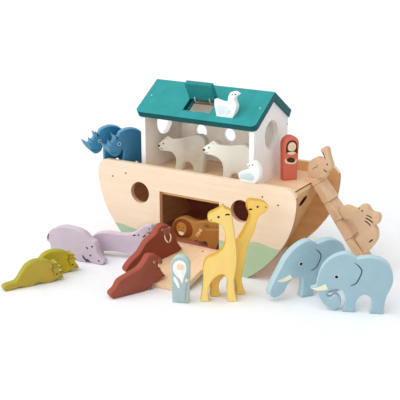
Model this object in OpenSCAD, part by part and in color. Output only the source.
// Wooden ark toy with ramp, boarding ladder, roof hatch and a set of flat cut-out figures.
// Millimetres, Z up, X along the hull, the open side faces minus Y.
// The origin lies on the floor under the middle of the hull.

/* [Hull] */
// Length of the two hull sides
hull_len = 400; // [380:1:430]
// Width over both hull sides
hull_w = 182; // [174:1:200]
// Height of the hull sides
side_h = 169; // [162:1:176]
// Thickness of every hull and house board
board = 9; // [8:0.5:10]
// Rounding of the upper corners of a hull side
corner_r = 22; // [14:1:28]
// Radius of the upper part of the bow curve
bow_r = 150; // [130:1:170]
// Radius of the lower part of the bow curve
bilge_r = 220; // [200:1:250]
// Depth of the deck below the top of the sides
deck_drop = 18; // [14:1:22]
// Distance of the deck end from the bow at the ladder
deck_inset = 26; // [22:1:32]
// Distance of the deck end from the bow at the other end
ledge_inset = 5; // [4:1:20]
// Outward lean of the end boards, run per rise
end_lean = 0.515; // [0.48:0.005:0.54]
// Diameter of the hole in each end board
end_hole_d = 22; // [16:1:30]
// Height of the top of the hold floor
floor_top = 35; // [32:1:40]

/* [Hull openings] */
// Doorway width
door_w = 122; // [110:1:126]
// Doorway height above the hold floor
door_h = 91; // [84:1:96]
// Middle of the doorway along the hull
door_x = -5; // [-8:1:0]
// Porthole diameter
port_d = 39; // [30:1:42]
// Distance of each porthole from the middle of the doorway
port_x = 103; // [98:1:110]
// Height of the porthole centres
port_z = 117; // [110:1:120]

/* [House] */
// House length
house_len = 228; // [222:1:236]
// Width of the side deck beside the house
side_deck = 18.5; // [17:0.5:22]
// Middle of the house along the hull
house_x = -8; // [-10:1:-4]
// Height of the ridge above the deck
house_h = 155; // [150:1:165]
// Roof pitch in degrees
pitch = 33; // [31:0.5:35]
// Roof board thickness
roof_t = 12; // [11:0.5:13]
// How far the roof stands out beyond the end walls
gable_over = 6; // [3:1:10]
// How far the eaves stand out beyond the long sides
eave_over = 8.5; // [6:0.1:13]
// Rounding of the eave corners
eave_r = 9; // [6:1:20]
// Diameter of the round gable windows
gable_d = 50; // [40:1:54]
// Diameter of the back windows
window_d = 25; // [18:1:30]

/* [Hatch] */
// Width of the lid
lid_w = 53; // [46:1:58]
// Length of the lid down the slope
lid_l = 34; // [30:1:36]
// Thickness of the lid
lid_t = 9; // [7:0.5:9.5]
// Middle of the hatch along the roof
hatch_x = -11; // [-16:1:-6]
// Distance of the hinge line from the ridge
hatch_s = 32; // [30:1:34]
// How far the lid stands open in degrees
hatch_open = 93; // [60:1:120]
// Radius of the ring wire
wire_r = 1.1; // [0.8:0.1:1.2]
// Distance of each ring from the middle of the lid
ring_x = 15; // [10:1:18]

/* [Ramp and ladder] */
// Ramp thickness
ramp_t = 9; // [8:0.5:10]
// Ramp slope in degrees
ramp_a = 12.8; // [12:0.1:14]
// Rounding of the ramp corners
ramp_r = 18; // [8:1:24]
// Thickness of the tongue that lies on the door sill
tongue_t = 4; // [3:0.5:5]
// Ladder width
ladder_w = 40; // [34:1:46]
// Near edge of the ladder across the hull
ladder_y = 20; // [10:1:24]
// Ladder slope in degrees
ladder_a = 54.2; // [52:0.2:57]
// Ladder plank thickness
ladder_t = 10; // [8:0.5:11]
// Thickness of the lip that lies on the deck
lip_t = 6; // [5:0.5:7]
// Length of the lip
lip_l = 12; // [10:1:14]
// Height of each step
step_h = 3; // [2:0.5:5]
// Number of steps
steps = 5; // [4:1:7]
// Diameter of the pegs under the ramp and the ladder
peg_d = 5; // [4:0.5:5]

/* [Figures] */
// Thickness of the animals
fig_t = 15; // [12:0.5:15]
// Thickness of the two people
person_t = 15; // [12:0.5:16]
// Height of the two people
person_h = 79; // [74:1:84]
// Width of the people's robes at the hem
robe_hem = 26; // [22:1:32]
// Width of the people at the shoulders and of the head above
robe_top = 30; // [24:1:34]
// Thickness of the doves
dove_t = 12; // [9:0.5:13]
// Thickness of the rabbits
rabbit_t = 14; // [10:0.5:16]

/* [Clearances] */
// Gap between the ramp and the hull side
ramp_gap = 0.4; // [0.3:0.05:1]
// Gap between the ladder and the deck end
ladder_gap = 0.3; // [0.2:0.05:0.6]
// Radial clearance of a peg in its hole
peg_gap = 0.05; // [0.02:0.01:0.1]
// Clearance of the rings in their channels
ring_gap = 0.4; // [0.3:0.05:0.5]
// Gap round the lid
lid_gap = 0.8; // [0.4:0.1:1]
// Gap between a figure and the board or figure beside it
fig_gap = 0.8; // [0.5:0.1:1.2]

/* [Hidden] */
$fn = 64;
y_front = -hull_w / 2;
y_in = y_front + board;
deck_top = side_h - deck_drop;
deck_z = deck_top - board;
deck_end = hull_len / 2 - deck_inset;
ledge_end = hull_len / 2 - ledge_inset;

// The bow is two arcs that run into each other at bow_a below the level.
// The lower arc is set in by bow_in, so that they cross at a small angle.
bow_a = 30;
bow_in = 0.3;
bow_c = [hull_len / 2 - bow_r, side_h - corner_r];
bilge_c = bow_c - (bilge_r - bow_r + bow_in) * [cos(bow_a), -sin(bow_a)];
turn_z = bow_c[1] - bow_r * sin(bow_a);

end_a = atan(end_lean);
end_run = board / cos(end_a);
end_foot = deck_end - end_lean * deck_z;
end_hole_y = 21;
end_hole_z = deck_z - 27;

sill_z = floor_top - tongue_t;
door_l = door_x - door_w / 2;
door_top = floor_top + door_h;
lintel_t = 5;
lintel_h = 13;
lintel_lap = 6;

house_w = hull_w - 2 * board - 2 * side_deck;
house_l = house_x - house_len / 2;
house_r = house_x + house_len / 2;
house_front = -house_w / 2;
ridge_z = deck_top + house_h;
wall_apex = ridge_z - roof_t / cos(pitch);
roof_l = house_l - gable_over - 1;
roof_r = house_r + gable_over - 1;
roof_run = (house_w / 2 + eave_over) / cos(pitch);
gable_z = deck_top + house_h / 2 + 2.5;
window_z = deck_top + house_h / 3 + 2.5;
window_step = house_len / 4 + 4;

// Brads are driven through a board into the one behind it.
brad_r = 1.4;
brad_in = 9;
brad_head = 0.4;
brad_deck_x = deck_end - 36;
brad_deck_z = deck_top - board / 4;
brad_end_z = deck_z - 3;
brad_end_x = end_foot + end_lean * brad_end_z - end_run / 2;
roof_brad_s = 42;

// The lid turns about a line on the roof's upper face and closes on a ledge.
// The rings reach almost through the roof board.
lid_edge = 1;
ring_r = roof_t - wire_r - ring_gap - 0.7;
ledge_w = 3;
ledge_gap = 0.2;

peg_r = peg_d / 2;
peg_l = 11;
peg_seat = 3;
ramp_peg_x = door_w / 2 - 16;
ramp_y = y_front - 2;
ramp_under = floor_top - ramp_t / cos(ramp_a);
ramp_toe = ramp_y - ramp_under / tan(ramp_a);
ramp_nose = ramp_toe - ramp_t * sin(ramp_a);

ladder_x = deck_end + ladder_gap;
ladder_foot = deck_top / tan(ladder_a);
ladder_face = ladder_t / sin(ladder_a);
lip_end = ladder_x + ladder_face - lip_t / tan(ladder_a);
first_step = 8;
plank_l = (deck_top + ladder_t * cos(ladder_a)) / sin(ladder_a);
step_pitch = (plank_l - first_step - 5) / steps;

// Unit direction of the curve at knot i, or nothing at a corner.
function heading(k, i) =
  len(k[i]) > 2 ? [0, 0] :
  let (n = len(k), a = k[(i + n - 1) % n], b = k[(i + 1) % n], d = [b[0] - a[0], b[1] - a[1]])
  d / norm(d);

// A point at s on the cubic from a to b with end slopes u and v.
function cubic(a, b, u, v, s) =
  [for (c = [0, 1])
    (2 * s ^ 3 - 3 * s ^ 2 + 1) * a[c] + (s ^ 3 - 2 * s ^ 2 + s) * u[c]
    + (3 * s ^ 2 - 2 * s ^ 3) * b[c] + (s ^ 3 - s ^ 2) * v[c]];

// A smooth closed outline through the knots, in chords of about 4 mm.
// A knot with a third value is a corner, and two corners are joined by a straight line.
chord = 4;
function saw_line(k) =
  [for (i = [0 : len(k) - 1])
    let (
      j = (i + 1) % len(k),
      gap = norm([k[j][0] - k[i][0], k[j][1] - k[i][1]]),
      straight = len(k[i]) > 2 && len(k[j]) > 2,
      m = straight ? 1 : max(2, ceil(gap / chord))
    )
    for (q = [0 : m - 1])
      cubic(k[i], k[j], gap * heading(k, i), gap * heading(k, j), q / m)];

// A shape drawn in XZ, from y0 to y1.
module along_y(y0, y1) {
  translate([0, y1, 0])
    rotate([90, 0, 0])
      linear_extrude(y1 - y0)
        children();
}

// A shape drawn in YZ, from x0 to x1.
module along_x(x0, x1) {
  translate([x0, 0, 0])
    rotate([90, 0, 90])
      linear_extrude(x1 - x0)
        children();
}

// A round hole or pin along Y.
module bar_y(r, x, y0, y1, z) {
  translate([x, y0, z])
    rotate([-90, 0, 0])
      cylinder(r = r, h = y1 - y0);
}

// A band from z0 to z1 that ends in an arc about c.
module band(z0, z1, c, r) {
  intersection() {
    union() {
      translate(c) circle(r);
      translate([-hull_len, z0]) square([hull_len + c[0], z1 - z0]);
    }
    translate([-hull_len, z0]) square([2 * hull_len, z1 - z0]);
  }
}

// One bow of the hull side, open towards the other one.
module bow() {
  band(0, turn_z, bilge_c, bilge_r);
  band(turn_z - bow_r / 5, bow_c[1], bow_c, bow_r);
  band(bow_c[1], side_h, [hull_len / 2 - corner_r, bow_c[1]], corner_r);
}

module side_outline() {
  intersection() {
    bow();
    mirror([1, 0]) bow();
  }
}

// Brads of the side at y = s * hull_w / 2: two into the deck, one into each end board.
module hull_brads(s, head) {
  y_out = s * (hull_w / 2 + head);
  y_tip = s * (hull_w / 2 - board - brad_in);
  y0 = min(y_out, y_tip);
  y1 = max(y_out, y_tip);
  for (x = [-1, 1]) {
    bar_y(brad_r, x * brad_deck_x, y0, y1, brad_deck_z);
    bar_y(brad_r, x * brad_end_x, y0, y1, brad_end_z);
  }
}

module all_hull_brads(head) {
  for (s = [-1, 1]) hull_brads(s, head);
}

module hull_side_front() {
  color("BurlyWood")
  difference() {
    along_y(y_front, y_in) side_outline();
    translate([door_l, y_front - 1, sill_z]) cube([door_w, board + 2, door_top - sill_z]);
    for (x = [-port_x, port_x]) bar_y(port_d / 2, door_x + x, y_front - 1, y_in + 1, port_z);
    for (x = [-ramp_peg_x, ramp_peg_x])
      translate([door_x + x, y_front + board / 2, sill_z - peg_l - 1])
        cylinder(r = peg_r + peg_gap, h = peg_l + 2);
    hull_brads(-1, 1);
  }
}

// Cleat behind the top of the doorway.
module door_lintel() {
  color("Tan")
  translate([door_l - lintel_lap, y_in, door_top + lintel_lap - lintel_h])
    cube([door_w + 2 * lintel_lap, lintel_t, lintel_h]);
}

module hull_side_back() {
  color("BurlyWood")
  difference() {
    along_y(-y_in, -y_front) side_outline();
    for (x = [-port_x, 0, port_x]) bar_y(port_d / 2, door_x + x, -y_in - 1, -y_front + 1, port_z);
    hull_brads(1, 1);
  }
}

// End board that leans outwards, s is 1 at the ladder end and -1 at the other.
module end_board(s) {
  difference() {
    along_y(y_in, -y_in)
      polygon([
        [s * (end_foot - end_run), 0],
        [s * end_foot, 0],
        [s * deck_end, deck_z],
        [s * (deck_end - end_run), deck_z]
      ]);
    translate([s * (end_foot + end_lean * end_hole_z), end_hole_y, end_hole_z])
      rotate([0, s * (90 + end_a), 0])
        cylinder(d = end_hole_d, h = 4 * board, center = true);
    all_hull_brads(1);
  }
}

module hull_end_left() {
  color("Peru") end_board(-1);
}

module hull_end_right() {
  color("Peru") end_board(1);
}

// Floor of the hold, its ends cut to the lean of the end boards.
module hull_floor() {
  low = floor_top - board;
  low_x = end_foot - end_run + end_lean * low;
  top_x = end_foot - end_run + end_lean * floor_top;
  color("Sienna")
  along_y(y_in, -y_in)
    polygon([[-low_x, low], [low_x, low], [top_x, floor_top], [-top_x, floor_top]]);
}

// Pegs under the ladder's lip, or the holes for them.
module lip_pegs(r, low, high) {
  for (y = [0.25, 0.75])
    translate([ladder_x - lip_l / 2, ladder_y + y * ladder_w, deck_top - low])
      cylinder(r = r, h = low + high);
}

module deck() {
  color("BurlyWood")
  difference() {
    translate([-ledge_end, y_in, deck_z])
      cube([ledge_end + deck_end, hull_w - 2 * board, board]);
    lip_pegs(peg_r + peg_gap, board - 1, 1);
    all_hull_brads(1);
  }
}

module hull_pins() {
  color("DimGray") all_hull_brads(brad_head);
}

function roof_under(y) = wall_apex - abs(y) * tan(pitch);
function roof_over(y) = ridge_z - abs(y) * tan(pitch);

// Frame of a roof board: x along the ridge, y down the slope, z out of the roof.
// The front board has s = -1 and the back board s = 1.
module on_roof(s) {
  translate([0, 0, ridge_z])
    scale([1, -s, 1])
      rotate([pitch, 0, 0])
        mirror([0, 1, 0])
          children();
}

// A brad through a roof board into the gable wall under it.
module roof_brad(x, s, head) {
  on_roof(s)
    translate([x, roof_brad_s, -roof_t - brad_in])
      cylinder(r = brad_r, h = roof_t + brad_in + head);
}

module all_roof_brads(head) {
  for (s = [-1, 1])
    for (x = [house_l + board / 2, house_r - board / 2])
      roof_brad(x, s, head);
}

module gable_wall(x) {
  difference() {
    along_x(x, x + board)
      polygon([
        [house_front, deck_top],
        [-house_front, deck_top],
        [-house_front, roof_under(house_front)],
        [0, wall_apex],
        [house_front, roof_under(house_front)]
      ]);
    translate([x - 1, 0, gable_z])
      rotate([0, 90, 0])
        cylinder(d = gable_d, h = board + 2);
    all_roof_brads(1);
  }
}

module house_wall_left() {
  color("White") gable_wall(house_l);
}

module house_wall_right() {
  color("White") gable_wall(house_r - board);
}

module house_wall_back() {
  far = house_w / 2;
  near = far - board;
  color("White")
  difference() {
    along_x(house_l + board, house_r - board)
      polygon([
        [near, deck_top],
        [far, deck_top],
        [far, roof_under(far)],
        [near, roof_under(near)]
      ]);
    for (i = [-1 : 1]) bar_y(window_d / 2, house_x + i * window_step, near - 1, far + 1, window_z);
  }
}

// Plan of a roof board, ridge at y = 0, with round eave corners.
module roof_plan() {
  run = roof_run - eave_r;
  translate([roof_l, -1]) square([roof_r - roof_l, run + 1]);
  translate([roof_l + eave_r, 0]) square([roof_r - roof_l - 2 * eave_r, roof_run]);
  for (x = [roof_l + eave_r, roof_r - eave_r])
    translate([x, run]) circle(eave_r);
}

// The two boards meet in a mitre at y = 0.
module roof_board(s) {
  difference() {
    on_roof(s)
      translate([0, 0, -roof_t])
        linear_extrude(roof_t)
          roof_plan();
    translate([-hull_len, s > 0 ? -hull_w : 0, 0]) cube([2 * hull_len, hull_w, 2 * ridge_z]);
    all_roof_brads(1);
  }
}

// Wire rings about the hinge line, or the channels that they turn in.
module rings(r) {
  for (x = [-ring_x, ring_x])
    translate([hatch_x + x, hatch_s, 0])
      rotate([0, 90, 0])
        rotate_extrude()
          translate([ring_r, 0]) circle(r);
}

module roof_front() {
  jamb = hatch_s - lid_edge;
  color("LightSeaGreen")
  difference() {
    roof_board(-1);
    on_roof(-1) {
      translate([hatch_x - lid_w / 2 - lid_gap, jamb, -lid_t - ledge_gap])
        cube([lid_w + 2 * lid_gap, lid_l + 2 * lid_edge + lid_gap, roof_t]);
      translate([hatch_x - lid_w / 2 + ledge_w, jamb, -roof_t - 1])
        cube([lid_w - 2 * ledge_w, lid_l + 2 * lid_edge - ledge_w, roof_t + 2]);
      rings(wire_r + ring_gap);
    }
  }
}

module roof_back() {
  color("LightSeaGreen") roof_board(1);
}

module roof_pins() {
  color("Gainsboro") all_roof_brads(brad_head);
}

module hatch_lid() {
  color("Teal")
  on_roof(-1)
    translate([0, hatch_s, 0])
      rotate([hatch_open, 0, 0])
        translate([0, -hatch_s, 0])
          difference() {
            translate([hatch_x - lid_w / 2, hatch_s + lid_edge, -lid_t])
              cube([lid_w, lid_l, lid_t]);
            rings(wire_r + ring_gap);
          }
}

module hatch_rings() {
  color("WhiteSmoke") on_roof(-1) rings(wire_r);
}

// Pegs under the ramp's tongue, or the holes for them.
module tongue_pegs(low, high) {
  for (x = [-ramp_peg_x, ramp_peg_x])
    translate([door_x + x, y_front + board / 2, sill_z - low])
      cylinder(r = peg_r, h = low + high);
}

// A tongue on the door sill, then a slope down to the floor.
module ramp() {
  w = door_w - 2 * ramp_gap;
  x0 = door_x - w / 2;
  hull_y = y_front - ramp_gap;
  color("Wheat")
  difference() {
    intersection() {
      along_x(x0, x0 + w)
        polygon([
          [y_in - ramp_gap, sill_z],
          [y_in - ramp_gap, floor_top],
          [ramp_y, floor_top],
          [ramp_nose, ramp_t * cos(ramp_a)],
          [ramp_toe, 0],
          [hull_y, ramp_under + (hull_y - ramp_y) * tan(ramp_a)],
          [hull_y, sill_z]
        ]);
      linear_extrude(floor_top + 1)
        translate([x0, ramp_nose]) {
          translate([0, ramp_r]) square([w, y_in - ramp_nose]);
          translate([ramp_r, 0]) square([w - 2 * ramp_r, 2 * ramp_r]);
          for (x = [ramp_r, w - ramp_r]) translate([x, ramp_r]) circle(ramp_r);
        }
    }
    tongue_pegs(1, peg_seat);
  }
}

module ramp_pegs() {
  color("Tan") tongue_pegs(peg_l, peg_seat);
}

// Frame of the ladder: x down the plank, z out of its upper face.
module on_ladder() {
  translate([ladder_x, ladder_y, deck_top])
    rotate([0, ladder_a, 0])
      translate([0, 0, ladder_t])
        children();
}

module ladder() {
  color("BurlyWood")
  difference() {
    along_y(ladder_y, ladder_y + ladder_w)
      polygon([
        [ladder_x - lip_l, deck_top],
        [ladder_x, deck_top],
        [ladder_x + ladder_foot, 0],
        [ladder_x + ladder_foot + ladder_face, 0],
        [lip_end, deck_top + lip_t],
        [ladder_x - lip_l, deck_top + lip_t]
      ]);
    lip_pegs(peg_r, 1, peg_seat);
  }
}

// Steps are wedges, thick at the lower end like the butt of a shingle.
module ladder_steps() {
  color("Tan")
  for (i = [0 : steps - 1])
    on_ladder()
      translate([first_step + i * step_pitch, 0, 0])
        along_y(0, ladder_w)
          polygon([[1, 0], [step_pitch - 0.2, 0], [step_pitch - 0.2, step_h]]);
}

module ladder_pegs() {
  color("Tan") lip_pegs(peg_r, board - 2, peg_seat);
}

// Outlines of the animals: along the figure, then up from its feet.
elephant_line = [
  [-30, 0, 1], [-10, 0, 1], [-9, 18], [0, 29], [11, 26], [14, 13], [12, 0, 1], [33, 0, 1],
  [36, 27], [44, 50], [43, 69], [32, 86], [10, 93], [-12, 89, 1], [-28, 97], [-50, 89],
  [-65, 72], [-72, 47], [-73, 39], [-81, 35, 1], [-71, 32], [-68, 23], [-57, 8], [-42, 2],
  [-33, 11], [-36, 23], [-43, 27], [-51, 21], [-56, 28], [-49, 35], [-33, 35], [-27, 18]
];
elephant_reach_line = [
  [-38, 0, 1], [-16, 0, 1], [-12, 18], [-2, 29], [9, 26], [12, 13], [11, 0, 1], [33, 0, 1],
  [36, 27], [44, 50], [43, 69], [32, 86], [10, 93], [-12, 89, 1], [-28, 97], [-50, 89],
  [-67, 74], [-77, 58], [-91, 33], [-96, 21], [-95, 13], [-88, 8], [-80, 9], [-71, 14],
  [-64, 26], [-57, 33], [-47, 36], [-38, 34], [-36, 18]
];
giraffe_back_line = [
  [-30, 0, 1], [-16, 0, 1], [-17, 20], [-9, 38], [5, 46], [12, 38], [12, 18], [14, 0, 1],
  [29, 0, 1], [24, 30], [28, 66], [27, 92], [21, 134], [17, 153], [9, 157], [5, 162, 1],
  [0, 157], [-9, 152], [-18, 146], [-17, 136], [-5, 133], [4, 127], [9, 110], [6, 91],
  [-4, 81], [-20, 73], [-26, 58], [-26, 36]
];
giraffe_line = [
  [-29, 0, 1], [-13, 0, 1], [-15, 20], [-6, 33], [5, 33], [12, 22], [14, 0, 1],
  [30, 0, 1], [23, 25], [27, 52], [33, 85], [43, 108], [49, 131], [61, 140], [65, 148],
  [58, 156], [42, 160], [33, 160], [30, 150], [35, 133], [30, 118], [15, 92], [-3, 74],
  [-20, 66], [-29, 50], [-28, 22]
];
walrus_line = [
  [-43, 9], [-38, 0, 1], [20, 0, 1], [27, 4], [33, 0, 1], [37, 8], [48, 14], [61, 18, 1],
  [54, 28], [51, 37], [56, 44], [50, 54], [40, 60], [29, 60], [21, 50], [10, 41],
  [-11, 34], [-26, 28], [-34, 17]
];
walrus_sit_line = [
  [-45, 9], [-40, 0, 1], [44, 0, 1], [56, 1], [69, 4, 1], [62, 20], [60, 35], [56, 50],
  [45, 61], [32, 63], [23, 53], [3, 45], [-14, 30], [-34, 20]
];
triceratops_line = [
  [-42, 6], [-39, 0, 1], [-24, 0], [-14, 3], [-4, 0, 1], [9, 0, 1], [19, 4], [31, 0, 1],
  [42, 0, 1], [50, 4], [63, 4, 1], [61, 11], [55, 16], [61, 20, 1], [56, 24], [57, 29, 1],
  [51, 30], [51, 36, 1], [45, 35], [39, 39], [30, 42], [14, 43], [0, 37], [-10, 25],
  [-20, 13], [-36, 10]
];
hippo_low_line = [
  [-82, 26], [-80, 0, 1], [-60, 0, 1], [-55, 12], [-37, 13], [-27, 0, 1], [-9, 0, 1],
  [-5, 6], [4, 1], [18, 0], [27, 2], [29, 7], [21, 14], [15, 24], [14, 35], [11, 41, 1],
  [1, 46], [-7, 53], [-16, 58], [-33, 61], [-55, 61], [-76, 53], [-86, 41], [-88, 30, 1]
];
hippo_high_line = [
  [-60, 16], [-57, 0, 1], [-38, 0, 1], [-33, 9], [12, 9], [17, 0, 1], [36, 0, 1],
  [39, 22], [50, 38], [58, 46], [51, 52, 1], [62, 59], [58, 67], [47, 65], [36, 57],
  [22, 48], [2, 45], [-25, 46], [-46, 41], [-59, 29]
];
rhino_line = [
  [-49, 52, 1], [-45, 42], [-37, 33], [-25, 24], [-15, 28], [-10, 36], [-9, 20], [-9, 0, 1],
  [8, 0, 1], [15, 13], [22, 0, 1], [34, 0, 1], [35, 30], [32, 57], [22, 69], [8, 74],
  [-4, 73], [-15, 68], [-21, 60], [-29, 67, 1], [-27, 57], [-31, 50], [-35, 54, 1],
  [-37, 45], [-43, 47]
];
bear_line = [
  [-59, 52], [-53, 45], [-36, 43], [-22, 35], [-18, 16], [-22, 0, 1], [-5, 0, 1],
  [-2, 13], [7, 18], [15, 12], [17, 0, 1], [34, 0, 1], [36, 30], [34, 60], [22, 70],
  [-3, 66], [-28, 65], [-37, 70], [-45, 65], [-55, 58]
];
bear_low_line = [
  [-59, 40], [-53, 31], [-40, 31], [-28, 30], [-21, 22], [-20, 12], [-22, 0, 1], [-7, 0, 1],
  [-4, 12], [6, 17], [15, 12], [18, 0, 1], [36, 0, 1], [40, 30], [42, 54], [36, 67],
  [22, 69], [3, 63], [-14, 57], [-27, 56], [-37, 59], [-45, 53], [-54, 46]
];
dove_line = [
  [-16, 12], [-12, -3, 1], [16, -3, 1], [22, 10], [25, 21], [21, 34], [28, 42, 1],
  [22, 46], [13, 44], [9, 36], [7, 28], [-3, 27], [-17, 30, 1], [-18, 21]
];
dove_back_line = [
  [-26, 5], [-22, 0, 1], [4, 0, 1], [10, 8], [13, 21], [8, 33], [0, 38], [-6, 35],
  [-12, 31, 1], [-7, 24], [-16, 20], [-27, 14]
];
lion_line = [
  [-57, 17], [-51, 33], [-34, 41], [-18, 38], [-6, 37], [14, 42], [42, 42], [56, 34],
  [59, 18], [59, 0, 1], [44, 0, 1], [39, 11], [18, 13], [0, 10], [-8, 0, 1], [-48, 0, 1]
];
lioness_line = [
  [-25, 17], [-21, 28], [-10, 37], [-2, 33], [16, 36], [42, 37], [56, 28], [59, 0, 1],
  [45, 0, 1], [40, 11], [24, 11], [19, 0, 1], [3, 0, 1], [-1, 10], [-12, 8], [-21, 9]
];
rabbit_up_line = [
  [-18, 9], [-17, 0, 1], [2, 0, 1], [10, 2], [17, 5], [18, 12], [24, 18], [27, 24],
  [24, 33], [20, 45], [16, 56], [8, 55], [5, 50], [11, 38], [-4, 36], [-16, 26]
];
rabbit_down_line = [
  [63, 9], [66, 0, 1], [84, 0, 1], [90, 12], [106, 13], [118, 10], [122, 0, 1], [154, 0, 1],
  [149, 15], [140, 34], [126, 43], [116, 44], [117, 52], [105, 61], [94, 52], [81, 50],
  [76, 40], [78, 30], [66, 18]
];

// Where the figures on the floor stand: away from the bow or the middle of the hull,
// away from the hull's front face, and the way they are turned.
// The front walrus rests its flipper on the nose of the ramp.
elephant_front_at = [134, -34, 22];
elephant_rear_at = [50, 2, 55];
giraffe_front_at = [122, -112, 32];
giraffe_rear_at = [122, -83, 42];
walrus_front_at = [-12, ramp_nose - y_front - 40.9 - 1.6 * (ramp_t - 9), 65];
walrus_ramp_at = [-36.8, -77.8, 65];
triceratops_front_at = [-180, -226, 60];
triceratops_rear_at = [-187, -177, 57];
hippo_left_at = [-160, -86, 8];
hippo_right_at = [-128, -37, 15];
man_at = [71, -149.4, 18];

// Where the figures on board stand.
rhino_front_at = [house_l - 24.6, 12.1, 48];
rhino_rear_at = [6 - ledge_end, 10.7, 48];
bear_front_at = [house_r - board - 37, 8.5];
bear_rear_at = [house_l + 71, 33.5];
dove_roof_at = [roof_r - 66, -61];
dove_rail_x = 120;
lioness_x = 25;
woman_at = [32, 14, 52];
rabbit_in = 10;

// A flat figure on the local XZ plane, its face at y = 0.
module cutout(line, t) {
  along_y(0, t) polygon(saw_line(line));
}

// Put a figure on the floor in front of the hull.
module on_floor(at, x = 0) {
  translate([x + at[0], y_front + at[1], 0])
    rotate(at[2])
      children();
}

// Robe with straight sides, and a round head as wide as the shoulders.
module person() {
  hem = robe_hem / 2;
  top = robe_top / 2;
  neck = person_h - top;
  along_y(0, person_t) {
    polygon([[-hem, 0], [hem, 0], [top, neck], [-top, neck]]);
    translate([0, neck]) circle(top);
  }
}

module elephant_front() {
  color("LightSlateGray") on_floor(elephant_front_at, hull_len / 2) cutout(elephant_line, fig_t);
}

module elephant_rear() {
  color("LightSlateGray") on_floor(elephant_rear_at, hull_len / 2) cutout(elephant_reach_line, fig_t);
}

module giraffe_front() {
  color("Khaki") on_floor(giraffe_front_at) cutout(giraffe_back_line, fig_t);
}

module giraffe_rear() {
  color("Khaki") on_floor(giraffe_rear_at) cutout(giraffe_line, fig_t);
}

module walrus_front() {
  color("Brown") on_floor(walrus_front_at) cutout(walrus_line, fig_t);
}

// The second walrus stands square on the ramp, with its place along the slope.
module walrus_ramp() {
  color("Brown")
  translate([0, ramp_y, floor_top])
    rotate([ramp_a, 0, 0])
      translate([walrus_ramp_at[0], walrus_ramp_at[1], 0])
        rotate(walrus_ramp_at[2])
          cutout(walrus_sit_line, fig_t);
}

module triceratops_front() {
  color("Olive") on_floor(triceratops_front_at) cutout(triceratops_line, fig_t);
}

module triceratops_rear() {
  color("Olive") on_floor(triceratops_rear_at) cutout(triceratops_line, fig_t);
}

module hippo_left() {
  color("Thistle") on_floor(hippo_left_at) cutout(hippo_low_line, fig_t);
}

module hippo_right() {
  color("Thistle") on_floor(hippo_right_at) cutout(hippo_high_line, fig_t);
}

// Put a figure on the deck, away from the inside of the hull's front.
module on_deck(at) {
  translate([at[0], y_in + at[1], deck_top])
    rotate(at[2])
      children();
}

module rhino_front() {
  color("SteelBlue") on_deck(rhino_front_at) cutout(rhino_line, fig_t);
}

module rhino_rear() {
  color("SteelBlue") on_deck(rhino_rear_at) cutout(rhino_line, fig_t);
}

module bear_front() {
  color("Ivory")
  translate([bear_front_at[0], house_front + bear_front_at[1], deck_top])
    cutout(bear_line, fig_t);
}

module bear_rear() {
  color("Ivory")
  translate([bear_rear_at[0], house_front + bear_rear_at[1], deck_top])
    cutout(bear_low_line, fig_t);
}

// The foot of this dove is cut to the slope of the roof.
module dove_roof() {
  color("White")
  difference() {
    translate([dove_roof_at[0], dove_roof_at[1], roof_over(dove_roof_at[1]) - 1])
      cutout(dove_line, dove_t);
    on_roof(-1) translate([0, 0, -roof_t]) cube([hull_len, hull_w, roof_t]);
  }
}

module dove_rail() {
  color("White")
  translate([dove_rail_x, y_front + (board - dove_t) / 2, side_h]) cutout(dove_back_line, dove_t);
}

module lion() {
  color("Sienna")
  translate([0, y_in + 2 * fig_gap + fig_t, floor_top]) cutout(lion_line, fig_t);
}

module lioness() {
  color("Peru")
  translate([lioness_x, y_in + fig_gap, floor_top]) cutout(lioness_line, fig_t);
}

module rabbit_top() {
  color("Tan")
  translate([lip_end - 2, ladder_y + rabbit_in, deck_top + lip_t])
    cutout(rabbit_up_line, rabbit_t);
}

module rabbit_low() {
  color("Tan") on_ladder() translate([0, rabbit_in, step_h]) cutout(rabbit_down_line, rabbit_t);
}

module bearded_man() {
  color("LightGray") on_floor(man_at) person();
}

module woman() {
  color("IndianRed")
  translate([house_r + woman_at[0], woman_at[1], deck_top])
    rotate(woman_at[2])
      person();
}

hull_side_front();
door_lintel();
hull_side_back();
hull_end_left();
hull_end_right();
hull_floor();
deck();
hull_pins();
house_wall_left();
house_wall_right();
house_wall_back();
roof_front();
roof_back();
roof_pins();
hatch_lid();
hatch_rings();
ramp();
ramp_pegs();
ladder();
ladder_steps();
ladder_pegs();
elephant_front();
elephant_rear();
giraffe_front();
giraffe_rear();
walrus_front();
walrus_ramp();
triceratops_front();
triceratops_rear();
hippo_left();
hippo_right();
rhino_front();
rhino_rear();
bear_front();
bear_rear();
dove_roof();
dove_rail();
lion();
lioness();
rabbit_top();
rabbit_low();
bearded_man();
woman();
